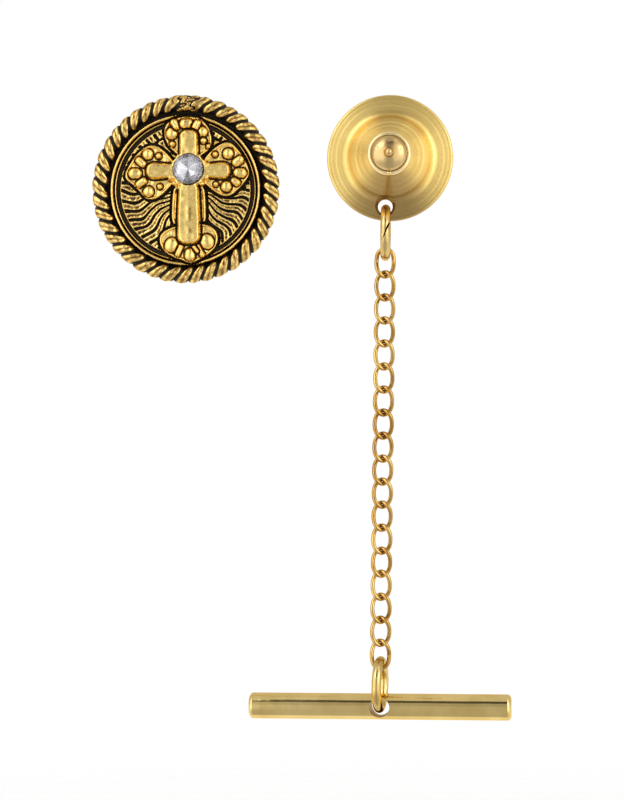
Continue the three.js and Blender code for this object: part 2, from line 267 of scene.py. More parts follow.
def finish_mesh(obj, sharp=SHARP):
    """Welds the mesh, turns its faces outward and shades it smooth between sharp edges."""
    shape = bmesh.new()
    shape.from_mesh(obj.data)
    bmesh.ops.remove_doubles(shape, verts=shape.verts, dist=1e-7)
    bmesh.ops.dissolve_degenerate(shape, edges=shape.edges, dist=1e-8)
    bmesh.ops.recalc_face_normals(shape, faces=shape.faces)
    shape.to_mesh(obj.data)
    shape.free()
    obj.data.shade_smooth()
    obj.data.set_sharp_from_angle(angle=sharp)


def cut(obj, points, faces):
    """Cuts a closed shape out of a piece."""
    finish_mesh(obj)
    cutter = mesh_object("cutter", points, faces, [])
    finish_mesh(cutter)
    modifier = obj.modifiers.new("cut", "BOOLEAN")
    modifier.object = cutter
    modifier.operation = "DIFFERENCE"
    modifier.solver = "EXACT"
    result = obj.evaluated_get(bpy.context.evaluated_depsgraph_get())
    mesh = bpy.data.meshes.new_from_object(result)
    obj.modifiers.clear()
    obj.data = mesh
    bpy.data.objects.remove(cutter)


def drill(centre, radius, low, high, segments=64):
    points, faces = turned([(0, low), (radius, low), (radius, high), (0, high)], segments)
    return points + np.array([centre[0], centre[1], 0]), faces


def place(obj, body, slot, *nodes):
    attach(obj, body)
    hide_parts(*nodes)
    return obj


# ---- shader graphs ----

class Graph:
    """Adds nodes to one tree."""

    def __init__(self, tree):
        self.tree = tree

    def node(self, kind, inputs=None, **settings):
        node = self.tree.nodes.new(kind)
        for key, value in settings.items():
            setattr(node, key, value)
        for key, value in (inputs or {}).items():
            if isinstance(value, bpy.types.NodeSocket):
                self.tree.links.new(value, node.inputs[key])
            else:
                node.inputs[key].default_value = value
        return node

    def math(self, operation, a, b=0.0):
        return self.node("ShaderNodeMath", {0: a, 1: b}, operation=operation).outputs[0]

    def place(self):
        return self.node("ShaderNodeTexCoord").outputs["Object"]

    def stretched(self, vector, scale):
        return self.node("ShaderNodeMapping", {"Vector": vector, "Scale": scale}).outputs[0]

    def noise(self, vector, scale, detail=3.0, roughness=0.55):
        values = {"Vector": vector, "Scale": scale, "Detail": detail, "Roughness": roughness}
        return self.node("ShaderNodeTexNoise", values).outputs["Fac"]

    def range(self, value, low, high, new_low, new_high):
        values = {0: value, 1: low, 2: high, 3: new_low, 4: new_high}
        return self.node("ShaderNodeMapRange", values, interpolation_type="SMOOTHSTEP").outputs[0]

    def mix(self, factor, a, b):
        node = self.node("ShaderNodeMix", data_type="RGBA")
        for socket, value in ((node.inputs[0], factor), (node.inputs[6], a), (node.inputs[7], b)):
            if isinstance(value, bpy.types.NodeSocket):
                self.tree.links.new(value, socket)
            else:
                socket.default_value = value
        return node.outputs[2]

    def bump(self, height, depth_mm, normal=None):
        values = {"Height": height, "Distance": depth_mm * MM, "Strength": 1.0}
        if normal is not None:
            values["Normal"] = normal
        return self.node("ShaderNodeBump", values).outputs[0]

    def radius_from_axis(self):
        """Distance from the clutch's axis, which is the frame's Y axis."""
        flat = self.stretched(self.place(), (1, 0, 1))
        return self.node("ShaderNodeVectorMath", {0: flat}, operation="LENGTH").outputs["Value"]


def colour(r, g, b):
    return (r, g, b, 1.0)


def new_material(name, **constants):
    """A material with a principled surface whose given sockets are set."""
    material = bpy.data.materials.new(name)
    material.use_nodes = True
    surface = material.node_tree.nodes["Principled BSDF"]
    for key, value in constants.items():
        surface.inputs[key.replace("_", " ")].default_value = value
    return material, Graph(material.node_tree), surface


def wire(graph, surface, **sockets):
    for key, value in sockets.items():
        graph.tree.links.new(value, surface.inputs[key.replace("_", " ")])


GOLD_EDGE = colour(1.0, 0.8, 0.5)  # how gold looks at a grazing angle


def antique_gold():
    """Cast gold plate with black patina left in the hollows and rubbed off the high places; the same dark
    attribute also carries painted shade on the rope's strand crests and down the cross's long limb.
    """
    material, g, surface = new_material("antique_gold", Specular_Tint=GOLD_EDGE)
    at = g.place()
    depth = g.node("ShaderNodeAttribute", attribute_name="patina_and_shade").outputs["Fac"]
    blotch = g.noise(at, 2200, 4)
    fine = g.noise(at, 9000, 3)
    patina_and_shade_mix = g.math("ADD", depth, g.math("MULTIPLY", g.math("SUBTRACT", blotch, 0.5), 0.9))
    tan = g.range(patina_and_shade_mix, 0.0, 0.5, 0, 1)
    black = g.range(patina_and_shade_mix, 0.4, 0.7, 0, 1)
    gold = g.mix(blotch, colour(0.92, 0.71, 0.26), colour(0.78, 0.52, 0.15))
    gold = g.mix(tan, gold, colour(0.3, 0.15, 0.035))
    base = g.mix(black, gold, colour(0.008, 0.006, 0.005))
    rough = g.range(fine, 0.3, 0.7, 0.2, 0.34)
    rough = g.math("ADD", rough, g.math("MULTIPLY", black, 0.3))
    bump = g.bump(fine, 0.012, g.bump(blotch, 0.02))
    metal = g.range(black, 0, 1, 1.0, 0.25)
    wire(g, surface, Base_Color=base, Roughness=rough, Normal=bump, Metallic=metal)
    return material


def spun_gold():
    """Brass turned on a lathe and gold plated: fine rings about the clutch's axis."""
    material, g, surface = new_material("spun_gold", Metallic=1.0, Anisotropic=0.8,
                                        Coat_Weight=0.35, Coat_Roughness=0.36,
                                        Anisotropic_Rotation=0.25, Specular_Tint=GOLD_EDGE)
    at = g.place()
    radius = g.radius_from_axis()
    line = g.node("ShaderNodeCombineXYZ", {0: radius}).outputs[0]
    rings = g.noise(line, 16000, 4, 0.7)
    bands = g.noise(line, 1800, 2)
    blotch = g.noise(at, 420, 3)
    tone = g.range(g.math("ADD", bands, g.math("MULTIPLY", blotch, 0.6)), 0.5, 1.1, 0, 1)
    base = g.mix(tone, colour(0.66, 0.455, 0.125), colour(0.86, 0.64, 0.22))
    # Painted shade: the base colour darkens to brown towards the clutch's lowest side, a fan of shade on the
    # brim and cone.
    height = g.node("ShaderNodeSeparateXYZ", {0: at}).outputs[2]
    painted_bottom_shade = g.range(g.math("DIVIDE", height, radius), -0.5, -0.98, 0, 0.75)
    base = g.mix(painted_bottom_shade, base, colour(0.3, 0.18, 0.06))
    rough = g.range(rings, 0.3, 0.7, 0.26, 0.4)
    tangent = g.node("ShaderNodeTangent", direction_type="RADIAL", axis="Y").outputs[0]
    normal = g.bump(rings, 0.004, g.bump(bands, 0.09, g.bump(g.noise(at, 900, 2), 0.01)))
    wire(g, surface, Base_Color=base, Roughness=rough, Normal=normal, Tangent=tangent)
    return material


def polished(name, bright, deep, low, high, grain):
    """Polished plate with soft colour clouds and faint scratches along one direction."""
    material, g, surface = new_material(name, Metallic=1.0, Specular_Tint=GOLD_EDGE)
    at = g.place()
    clouds = g.noise(at, 350, 3)
    scratches = g.noise(g.stretched(at, grain), 5200, 4, 0.65)
    base = g.mix(g.range(clouds, 0.35, 0.65, 0, 1), colour(*bright), colour(*deep))
    rough = g.range(scratches, 0.3, 0.7, low, high)
    normal = g.bump(scratches, 0.002, g.bump(clouds, 0.02))
    wire(g, surface, Base_Color=base, Roughness=rough, Normal=normal)
    return material


def steel():
    """Ground steel of the lock's inner pieces."""
    material, g, surface = new_material("ground_steel", Metallic=1.0)
    at = g.place()
    ground = g.noise(g.stretched(at, (1, 6, 1)), 6000, 3)
    base = g.mix(g.noise(at, 900, 2), colour(0.62, 0.61, 0.6), colour(0.46, 0.45, 0.43))
    rough = g.range(ground, 0.3, 0.7, 0.18, 0.34)
    wire(g, surface, Base_Color=base, Roughness=rough, Normal=g.bump(ground, 0.003))
    return material


def crystal_glass():
    """Clear lead crystal."""
    material, g, surface = new_material("crystal_glass", Roughness=0.02, IOR=1.55)
    surface.inputs["Transmission Weight"].default_value = 1.0
    haze = g.noise(g.place(), 3000, 2)
    base = g.mix(haze, colour(1.0, 1.0, 1.0), colour(0.95, 0.95, 0.98))
    wire(g, surface, Base_Color=base)
    return material


def crystal_foil():
    """The silver mirror on the stone's back; each facet is painted its own brightness, a painted glint
    standing in for the sparkle of its reflections.
    """
    material, g, surface = new_material("crystal_foil", Metallic=1.0)
    facet_glint = g.node("ShaderNodeAttribute", attribute_name="facet_glint").outputs["Fac"]
    cloud = g.noise(g.place(), 2500, 2)
    tone = g.math("ADD", facet_glint, g.math("MULTIPLY", g.math("SUBTRACT", cloud, 0.5), 0.3))
    base = g.mix(tone, colour(0.26, 0.25, 0.28), colour(0.86, 0.86, 0.87))
    rough = g.range(cloud, 0.3, 0.7, 0.14, 0.26)
    wire(g, surface, Base_Color=base, Roughness=rough)
    return material


ANTIQUE = antique_gold()
SPUN = spun_gold()
KNOB_GOLD = polished("knob_gold", (0.6, 0.43, 0.19), (0.48, 0.33, 0.14), 0.2, 0.3, (1, 4, 1))
COLLAR_GOLD = polished("collar_gold", (0.9, 0.72, 0.38), (0.8, 0.6, 0.28), 0.2, 0.3, (1, 4, 1))
BAR_GOLD = polished("bar_gold", (0.78, 0.59, 0.24), (0.68, 0.5, 0.18), 0.07, 0.12, (0.06, 1, 1))
CHAIN_GOLD = polished("chain_gold", (0.58, 0.39, 0.13), (0.4, 0.22, 0.05), 0.14, 0.26, (1, 1, 0.3))
RING_GOLD = polished("ring_gold", (0.66, 0.5, 0.2), (0.5, 0.34, 0.11), 0.14, 0.26, (1, 1, 0.3))
# Dark brown painted shade for the faces inside the T-bar's drilled hole.
BORE_SHADE = polished("painted_bore_shade", (0.32, 0.2, 0.07), (0.14, 0.08, 0.03), 0.25, 0.4, (1, 1, 1))
PIN_GOLD = polished("pin_gold", (0.86, 0.66, 0.3), (0.7, 0.5, 0.2), 0.14, 0.24, (1, 5, 1))
# Near-black painted shade, put on the jump rings' cut ends where the slit lies in shade.
SLIT_SHADE = polished("painted_slit_shade", (0.03, 0.02, 0.02), (0.06, 0.04, 0.03), 0.5, 0.7, (1, 1, 1))
STEEL = steel()
GLASS = crystal_glass()
FOIL = crystal_foil()


# ---- the casting's relief ----

def grain(x, y, size, seed):
    """Smooth random lumps of the given size, from -1 to 1."""
    table = np.random.default_rng(seed).uniform(-1, 1, (64, 64))
    u, v = x / size, y / size
    i, j = np.floor(u).astype(int), np.floor(v).astype(int)
    s, t = smooth(0, 1, u - i), smooth(0, 1, v - j)
    low = table[i % 64, j % 64] * (1 - s) + table[(i + 1) % 64, j % 64] * s
    high = table[i % 64, (j + 1) % 64] * (1 - s) + table[(i + 1) % 64, (j + 1) % 64] * s
    return low * (1 - t) + high * t


def to_segment(x, y, start, end):
    ax, ay = start
    bx, by = end[0] - ax, end[1] - ay
    length = bx * bx + by * by
    share = np.clip(((x - ax) * bx + (y - ay) * by) / length, 0, 1) if length else 0
    return np.hypot(x - ax - share * bx, y - ay - share * by)


def softened(points, closed=True, times=3):
    """Cuts the corners of a line of points again and again, so that it flows."""
    line = [np.array(p, float) for p in points]
    for _ in range(times):
        ends = line[1:] + line[:1] if closed else line[1:]
        fresh = [] if closed else [line[0]]
        for a, b in zip(line, ends):
            fresh += [0.75 * a + 0.25 * b, 0.25 * a + 0.75 * b]
        line = fresh if closed else fresh + [line[-1]]
    return line


def signed_distance(x, y, outline):
    """Distance to a closed outline, negative inside."""
    distance = np.full(x.shape, 1e9)
    inside = np.zeros(x.shape, bool)
    for a, b in zip(outline, outline[1:] + outline[:1]):
        distance = np.minimum(distance, to_segment(x, y, a, b))
        crosses = (a[1] > y) != (b[1] > y)
        rise = b[1] - a[1] if b[1] != a[1] else 1e-9
        inside ^= crosses & (x < (b[0] - a[0]) * (y - a[1]) / rise + a[0])
    return np.where(inside, -distance, distance)


def rays(x, y):
    """Wavy rays that spread from the foot of the cross, long below and short above."""
    across, down = np.abs(x - RAY_CENTRE[0]), RAY_CENTRE[1] - y
    reach = np.hypot(across, down)
    slope = np.arctan2(down, across)
    wave = 0.045 * np.sin(TAU * (reach - 4.3) / 3.2) * (slope > 0) * np.sign(RAY_CENTRE[0] - x)
    phase = (slope - wave + 0.012 * grain(x, y, 0.8, 3)) * RAY_COUNT / TAU
    gap = 2 * np.abs(phase - np.round(phase))
    ray = 1 - smooth(0.58, 0.88, gap)
    level = FLOOR_LEVEL + (RAY_LEVEL - FLOOR_LEVEL) * ray
    level = level + ray * (0.04 * grain(x, y, 0.13, 5) - 0.09 * smooth(0.6, 0.1, gap))
    above = (slope < 0.02) & (reach < 5.35)
    stipple = HALO_LEVEL - 0.08 + 0.14 * grain(x, y, 0.24, 7)
    return np.where(above, np.where(reach > 5.2, FLOOR_LEVEL, stipple), level)


# Raised panels round the ends of the cross, as loose outlines.
PANELS = (
    ((-1.5, 3.9), (-1.95, 5.2), (-1.75, 6.1), (-0.8, 6.6), (0.4, 6.72), (1.5, 6.5), (2.2, 5.6),
     (2.5, 4.4), (2.1, 3.5), (0.3, 2.6)),
    ((-1.6, 3.2), (-3.1, 4.25), (-4.5, 3.3), (-5.4, 1.9), (-5.7, 1.0), (-4.7, 0.35),
     (-3.25, -1.35), (-1.2, 0.4), (-0.8, 1.8)),
    ((2.2, 3.3), (3.95, 4.5), (5.0, 3.6), (5.85, 2.1), (6.0, 1.2), (5.2, 0.2), (3.9, -0.95),
     (1.9, 0.4), (1.4, 1.8)),
    ((-0.7, -3.5), (-2.3, -4.2), (-2.35, -5.3), (-1.5, -6.2), (-0.5, -6.55), (0.5, -6.95),
     (1.4, -6.6), (2.6, -5.8), (3.1, -4.8), (2.8, -3.8), (1.5, -3.3)),
    ((-0.95, 0.4), (-1.15, -1.0), (-1.2, -3.9), (1.9, -3.9), (1.85, -1.0), (1.7, 0.4)),
)

# Beads and petals: x, y, radius, then how far a petal is drawn out, and its direction in degrees.
LOBES = (
    (-1.28, 5.2, 0.54, 0, 0), (1.6, 5.32, 0.5, 0, 0), (-1.22, 4.2, 0.28, 0, 0), (1.72, 4.5, 0.31, 0, 0),
    (2.2, 3.98, 0.24, 0, 0), (-0.95, 6.05, 0.29, 0.18, 125), (0.1, 6.12, 0.4, 0.12, 0),
    (1.05, 5.98, 0.29, 0.16, 60), (-3.55, 3.25, 0.51, 0, 0), (-2.52, 3.08, 0.29, 0, 0),
    (-4.18, 2.5, 0.29, 0.2, 140), (-4.74, 1.45, 0.4, 0.12, 180), (-4.15, 0.6, 0.29, 0.2, 215),
    (-3.48, -0.26, 0.5, 0, 0), (-2.4, 0.22, 0.27, 0, 0), (4.05, 3.28, 0.5, 0, 0),
    (2.82, 3.22, 0.27, 0, 0), (4.98, 2.56, 0.34, 0.16, 35), (5.16, 1.46, 0.38, 0.14, 0),
    (4.74, 0.64, 0.29, 0.12, -30), (3.88, 0.2, 0.5, 0, 0), (2.9, 0.42, 0.26, 0, 0),
    (-1.28, -5.3, 0.52, 0.05, 60), (2.05, -4.98, 0.52, 0.05, 120), (-0.56, -5.82, 0.22, 0.3, 65),
    (0.45, -6.2, 0.42, 0.08, 90), (1.4, -5.85, 0.22, 0.36, 120), (0.95, -5.62, 0.17, 0.26, 125),
)
# The grains that hold the stone: where they stand round it, in degrees.
GRAIN_ANGLES = (12, -6, -24, -46, 186, 204, 224, 243)
GRAIN_RADIUS = 0.3
GRAIN_REACH = 1.86  # from the stone's middle


def panel(height, x, y, outline):
    """A raised panel with a ridge round it and a dark line outside."""
    distance = signed_distance(x, y, softened(outline))
    near = distance < 0.3
    height = np.where(near & (distance > 0), np.minimum(height, FLOOR_LEVEL), height)
    top = HALO_LEVEL + 0.05 * grain(x, y, 0.3, 11)
    ridge = np.sqrt(np.clip(1 - (np.abs(distance + 0.02) / RIDGE_HALF) ** 2, 0, 1))
    raised = FLOOR_LEVEL + (HALO_RIDGE - FLOOR_LEVEL) * ridge
    inside = np.where(distance < 0, top, FLOOR_LEVEL)
    return np.where(distance < RIDGE_HALF, np.maximum(inside, raised), height)


def lobe(height, x, y, spec):
    """A domed bead or petal in its own dark moat."""
    px, py, radius, drawn, direction = spec
    petal = 1.32 if drawn else 1.1
    radius, drawn = petal * radius, petal * drawn
    step = np.array([math.cos(math.radians(direction)), math.sin(math.radians(direction))]) * drawn
    distance = to_segment(x, y, (px - step[0], py - step[1]), (px + step[0], py + step[1]))
    height = np.where(distance < radius + MOAT, np.minimum(height, MOAT_LEVEL), height)
    dome = np.sqrt(np.clip(1 - (distance / radius) ** 2, 0, 1))
    return np.where(distance < radius, MOAT_LEVEL + (LOBE_TOP - MOAT_LEVEL) * dome, height)


def rounded_box(x, y, centre, half, corner):
    """Distance to a box with round corners, negative inside."""
    dx = np.abs(x - centre[0]) - half[0] + corner
    dy = np.abs(y - centre[1]) - half[1] + corner
    outside = np.hypot(np.maximum(dx, 0), np.maximum(dy, 0))
    return outside + np.minimum(np.maximum(dx, dy), 0) - corner


def cross_bar(height, distance, top):
    """One limb of the cross: a bevelled edge in a dark moat, up to the given top surface."""
    height = np.where(distance < CROSS_MOAT, np.minimum(height, MOAT_LEVEL), height)
    bevel = MOAT_LEVEL + (top - MOAT_LEVEL) * np.sqrt(smooth(-0.02, 0.3, -distance))
    return np.where(distance < 0, np.maximum(height, bevel), height)


def cross(height, x, y, seat):
    centre = seat[0]
    arm_y = seat[1] - 0.1
    dimples = 0.03 * grain(x, y, 0.5, 13)
    upper = rounded_box(x, y, (centre, 4.1), (0.96, 1.5), 0.72)
    height = cross_bar(height, upper, 1.93 + dimples - 0.12 * (x - centre) ** 2)
    spread = 1 + 0.13 * smooth(0.5, -3.5, y)
    lower = rounded_box(centre + (x - centre) / spread, y, (centre, -2.3), (LIMB_HALF, 3.0), 0.8)
    height = cross_bar(height, lower, CROSS_TOP_LEVEL + dimples - 0.06 * np.abs(x - centre))
    for side, tip in ((-1, -3.76), (1, 4.36)):
        along = side * (x - centre)
        reach = side * (tip - centre)
        half = 0.7 + 0.16 * smooth(1.6, reach - 0.9, along)
        middle = (centre + side * reach / 2, 0)
        arm = rounded_box(x, (y - arm_y) * ARM_HALF / half, middle, (reach / 2, ARM_HALF), 0.76)
        crown = 1.92 + dimples - 0.2 * (y - arm_y) ** 2
        height = cross_bar(height, arm, crown)
    return height


def stone_seat(height, x, y, seat, radius):
    """The collar that holds the stone, its grains and the bowl under it."""
    reach = np.hypot(x - seat[0], y - seat[1])
    angle = np.arctan2(y - seat[1], x - seat[0])
    scallop = 0.05 * np.cos(14 * angle)
    collar = radius + 0.34 + scallop
    slope = SEAT_TOP - 0.25 * smooth(collar - 0.2, collar, reach)
    height = np.where(reach < collar, np.maximum(height, slope), height)
    for degrees in GRAIN_ANGLES:
        a = math.radians(degrees)
        distance = np.hypot(x - seat[0] - GRAIN_REACH * math.cos(a), y - seat[1] - GRAIN_REACH * math.sin(a))
        dome = np.sqrt(np.clip(1 - (distance / GRAIN_RADIUS) ** 2, 0, 1))
        height = np.where(distance < GRAIN_RADIUS, np.maximum(height, 1.3 + 0.65 * dome), height)
    bowl = 0.84 + 1.0 * smooth(0, radius, reach)
    return np.where(reach < radius + 0.03, np.minimum(height, bowl), height)


def bezel(height, x, y):
    """The round ledge inside the rope: a thick ridge, thin ones inside it, and a dark channel."""
    reach = np.hypot(x, y + RELIEF_DROP)
    height = np.where(reach > FIELD_RADIUS, FLOOR_LEVEL, height)
    for middle, half, top in ((FIELD_RADIUS, 0.08, 1.2), (6.6, 0.1, 1.36)):
        thin = np.sqrt(np.clip(1 - ((reach - middle) / half) ** 2, 0, 1))
        height = np.maximum(height, FLOOR_LEVEL + (top - FLOOR_LEVEL) * thin)
    middle = (BEZEL_INNER + BEZEL_OUTER) / 2
    share = np.clip(1 - ((reach - middle) / (BEZEL_OUTER - middle)) ** 2, 0, 1)
    height = np.maximum(height, FLOOR_LEVEL + (BEZEL_TOP - FLOOR_LEVEL) * share ** 0.4)
    return np.where(reach > BEZEL_OUTER, FLANGE_TOP, height)


def relief(x, y, seat, stone_radius):
    """Height of the casting's face above its back."""
    height = rays(x, y)
    height = bezel(height, x, y)
    for outline in (PANELS[4], *PANELS[:4]):
        height = panel(height, x, y, outline)
    for spec in LOBES:
        height = lobe(height, x, y, spec)
    height = cross(height, x, y, seat)
    height = stone_seat(height, x, y, seat, stone_radius)
    return height + 0.012 * grain(x, y, 0.45, 17)


def painted_limb_shade(x, y, seat):
    """Painted shade down the middle of the cross's long limb: a darker, streaky band standing in for the dim
    reflection there.
    """
    drawn = np.exp(-((x - seat[0] - 0.12) / 0.3) ** 2) * smooth(-4.9, -3.9, y) * smooth(0.2, -0.6, y)
    uneven = 0.5 + 0.5 * grain(x, y, 0.5, 19)
    return 0.21 * drawn * uneven


def blurred(values, sigma):
    """A Gaussian blur, with sigma in millimetres."""
    rows = np.fft.fftfreq(values.shape[0], RASTER_STEP)[:, None]
    columns = np.fft.rfftfreq(values.shape[1], RASTER_STEP)[None, :]
    keep = np.exp(-2 * (math.pi * sigma) ** 2 * (rows ** 2 + columns ** 2))
    return np.fft.irfft2(np.fft.rfft2(values) * keep, values.shape)


def sampled(raster, low, x, y):
    u, v = (x - low) / RASTER_STEP, (y - low) / RASTER_STEP
    i, j = np.floor(u).astype(int), np.floor(v).astype(int)
    s, t = u - i, v - j
    a = raster[i, j] * (1 - s) + raster[i + 1, j] * s
    b = raster[i, j + 1] * (1 - s) + raster[i + 1, j + 1] * s
    return a * (1 - t) + b * t


def disc_grid(radius, rings):
    """A disc of square-ish cells: ring k has 8k points, laid out as a square grid's rings."""
    line = np.linspace(-1, 1, 2 * rings + 1)
    u, v = np.meshgrid(line, line, indexing="ij")
    big = np.maximum(np.abs(u), np.abs(v))
    safe = np.where(big > 0, big, 1)
    flat = np.abs(u) >= np.abs(v)
    lesser = np.where(flat, v, u) / safe
    turn = lesser * math.pi / 4
    x = np.where(flat, np.sign(u) * np.cos(turn), np.sin(turn))
    y = np.where(flat, np.sin(turn), np.sign(v) * np.cos(turn))
    return radius * big * x, radius * big * y


def medallion(tack):
    """The cast disc: a fine relief on its face, a short wall and a flat back."""
    stone = centre_of("crystal") - tack
    seat = (stone[0], stone[1])
    stone_radius = size_of("crystal")[0] / 2
    low = -FLANGE_RADIUS - 0.4
    line = np.arange(low, -low, RASTER_STEP)
    gx, gy = np.meshgrid(line, line, indexing="ij")
    raster = relief(gx, gy - RELIEF_DROP, seat, stone_radius)
    face = blurred(raster, 0.035)
    # The dark measure: patina by depth in the relief, plus painted shade down the cross's long limb.
    hollow_and_shade = blurred(raster, 0.18) - face + 0.42 * smooth(1.42, 0.9, face) + painted_limb_shade(gx, gy - RELIEF_DROP, seat)
    x, y = disc_grid(FLANGE_RADIUS, RELIEF_GRID)
    side = len(x)
    z = sampled(face, low, x.ravel(), y.ravel())
    top = np.column_stack((x.ravel(), y.ravel() - RELIEF_DROP, z))
    faces = grid_faces(side, side, wrap_columns=False).tolist()
    border = border_of(side)
    wall, wall_faces = skirt(top[border], (0.06, 0.0), len(top), border)
    points = np.vstack((top, wall)) + tack_back(tack)
    obj = mesh_object("medallion_relief", points, faces + wall_faces, [ANTIQUE])
    finish_mesh(obj, math.radians(70))
    store(obj, "patina_and_shade", patina_and_shade_at(drawing_points(obj) - tack_back(tack), low, hollow_and_shade))
    return place(obj, "tack", "antique_gold", "medallion")


def patina_and_shade_at(points, low, hollow_and_shade):
    """How deep each point lies, 0 to 1: by the relief on the face, with painted shade down the cross's long
    limb, and a light film on the back.
    """
    dark = sampled(hollow_and_shade, low, points[:, 0], points[:, 1] + RELIEF_DROP)
    value = smooth(0.05, 0.35, dark)
    gap = np.hypot(points[:, 0], points[:, 1] + RELIEF_DROP) > BEZEL_OUTER - 0.04
    value = np.where(gap, 0.95, value)
    return np.where(points[:, 2] < 0.03, 0.22, value)


def border_of(side):
    """Indices round the edge of a square grid of points."""
    first = np.arange(side)
    return np.concatenate((first, (first[1:] * side + side - 1), ((side - 1) * side + first[::-1][1:]),
                           (first[::-1][1:-1] * side)))


def skirt(edge, levels, start, border):
    """Rings of points below an edge, joined to it, and one flat face under the last."""
    rows = [border]
    made = []
    for k, level in enumerate(levels):
        shrink = 0.985 if level == 0 else 1.0
        ring = edge.copy()
        ring[:, :2] = ring[:, :2] * shrink
        ring[:, 2] = level
        made.append(ring)
        rows.append(start + k * len(edge) + np.arange(len(edge)))
    faces = []
    for upper, lower in zip(rows, rows[1:]):
        for i in range(len(edge)):
            j = (i + 1) % len(edge)
            faces.append([upper[i], upper[j], lower[j], lower[i]])
    faces.append(rows[-1].tolist())
    return np.vstack(made), faces


def drawing_points(obj):
    """A piece's vertices in the drawing frame, in millimetres."""
    co = np.zeros(len(obj.data.vertices) * 3)
    obj.data.vertices.foreach_get("co", co)
    co = co.reshape(-1, 3) / MM
    return np.column_stack((co[:, 0], co[:, 2], -co[:, 1]))


def store(obj, name, values, domain="POINT"):
    """Keeps a number for every vertex or face, for the material to read."""
    attribute = obj.data.attributes.new(name, "FLOAT", domain)
    attribute.data.foreach_set("value", values.astype(np.float32))


def tack_back(tack):
    """The middle of the tack's flat back."""
    return np.array([tack[0], tack[1], tack[2] - size_of("rope_border")[2] / 2])


def rope_phase(around, section):
    """Which strand a point of the rope lies on. The strands tangle where the rope's ends meet."""
    phase = ROPE_TURNS * around / TAU + ROPE_SLANT * np.cos(section) / 2
    join = np.exp(-((around - 0.49 * math.pi) / 0.11) ** 2)
    knot = 0.55 * np.sin(3 * section + 9 * around) + 0.35 * np.sin(7 * section - 31 * around)
    uneven = 0.07 * np.sin(5 * around + 1) + 0.05 * np.sin(13 * around)
    return phase + join * knot + uneven


def rope_edge(tack):
    """The twisted edge: full rounded strands with deep dark gaps."""
    columns, rows = 56, ROPE_TURNS * 26
    around, section = np.meshgrid(np.arange(rows) * TAU / rows, np.arange(columns) * TAU / columns,
                                  indexing="ij")
    phase = rope_phase(around, section)
    gap = 2 * np.abs(phase - np.round(phase))
    width = 1 - 0.4 * smooth(-0.25, -1.0, np.cos(section))
    strand = np.sqrt(np.clip(1 - (gap / width) ** 2.5, 0, 1))
    bites = 0.02 * np.sin(23 * around + 2 * np.sin(3 * section)) + 0.012 * np.sin(61 * around + 5 * section)
    dent = 0.05 * smooth(0.28, 0.0, gap) * smooth(0.8, 0.2, np.abs(np.cos(section)))
    radius = ROPE_RADIUS - STRAND_DEPTH * (1 - strand) + bites * strand - dent
    reach = size_of("rope_border")[0] / 2 - ROPE_RADIUS + radius * np.cos(section)
    points = np.stack((reach * np.cos(around), reach * np.sin(around), radius * np.sin(section)), -1)
    faces = grid_faces(rows, columns, wrap_rows=True)
    obj = mesh_object("rope_edge", points.reshape(-1, 3) + tack, faces, [ANTIQUE])
    obj.data.shade_smooth()
    # Darkness for the material: patina in the gaps between strands and on the rope's inner side, plus painted
    # shade (the 0.3 term) along each strand's crest, standing in for its dim reflection.
    dark = 0.16 + smooth(0.56 * width, 0.86 * width, gap) + 0.3 * smooth(0.34, 0.0, gap)
    inner = smooth(-0.3, -0.9, np.cos(section)) * smooth(0.7, 0.1, np.sin(section))
    dark = np.maximum(dark, 0.8 * inner)
    dark = np.where(np.sin(section) < -0.2, np.maximum(dark * 0.8, 0.15), dark)
    store(obj, "patina_and_shade", dark.ravel())
    return place(obj, "tack", "antique_gold", "rope_border")


def brilliant():
    """A round brilliant: table, star, kite and girdle facets, and a foiled pointed back."""
    middle = centre_of("crystal")
    size = size_of("crystal")
    radius = size[0] / 2
    high = middle[2] + size[2] / 2
    girdle = high - 0.34
    count = 8

    def ring(share, z, n, shift):
        angle = (np.arange(n) + shift) * TAU / n
        return np.column_stack((middle[0] + share * radius * np.cos(angle),
                                middle[1] + share * radius * np.sin(angle), 0 * angle + z)).tolist()

    points = ring(0.58, high, count, 0) + ring(0.82, girdle + 0.2, count, 0.5)
    points += ring(1, girdle + 0.06, 2 * count, 0) + ring(1, girdle, 2 * count, 0)
    points += [[middle[0], middle[1], girdle - 0.36]]
    table, kite, upper, lower, culet = 0, 8, 16, 32, 48
    faces = [list(range(count))]
    tags = [0]
    for i in range(count):
        j = (i + 1) % count
        a, b, c = 2 * i, 2 * i + 1, (2 * i + 2) % (2 * count)
        faces += [[table + i, table + j, kite + i], [table + j, kite + i, upper + c, kite + j],
                  [kite + i, upper + a, upper + b], [kite + i, upper + b, upper + c],
                  [upper + a, upper + b, lower + b, lower + a], [upper + b, upper + c, lower + c, lower + b],
                  [lower + a, lower + b, culet], [lower + b, lower + c, culet]]
        tags += [0] * 6 + [1] * 2
    obj = mesh_object("crystal_brilliant", np.array(points), faces, [GLASS, FOIL])
    # Painted glints: each facet gets a random brightness, every other one dimmer, standing in for the sparkle
    # of reflections in the foil.
    facet_glints = np.random.default_rng(4).uniform(0.1, 1, len(faces)) * np.where(np.arange(len(faces)) % 2, 1, 0.6)
    for polygon, tag in zip(obj.data.polygons, tags):
        polygon.material_index = tag
    store(obj, "facet_glint", facet_glints, "FACE")
    shape = bmesh.new()
    shape.from_mesh(obj.data)
    bmesh.ops.recalc_face_normals(shape, faces=shape.faces)
    shape.to_mesh(obj.data)
    shape.free()
    return place(obj, "tack", "crystal", "crystal")


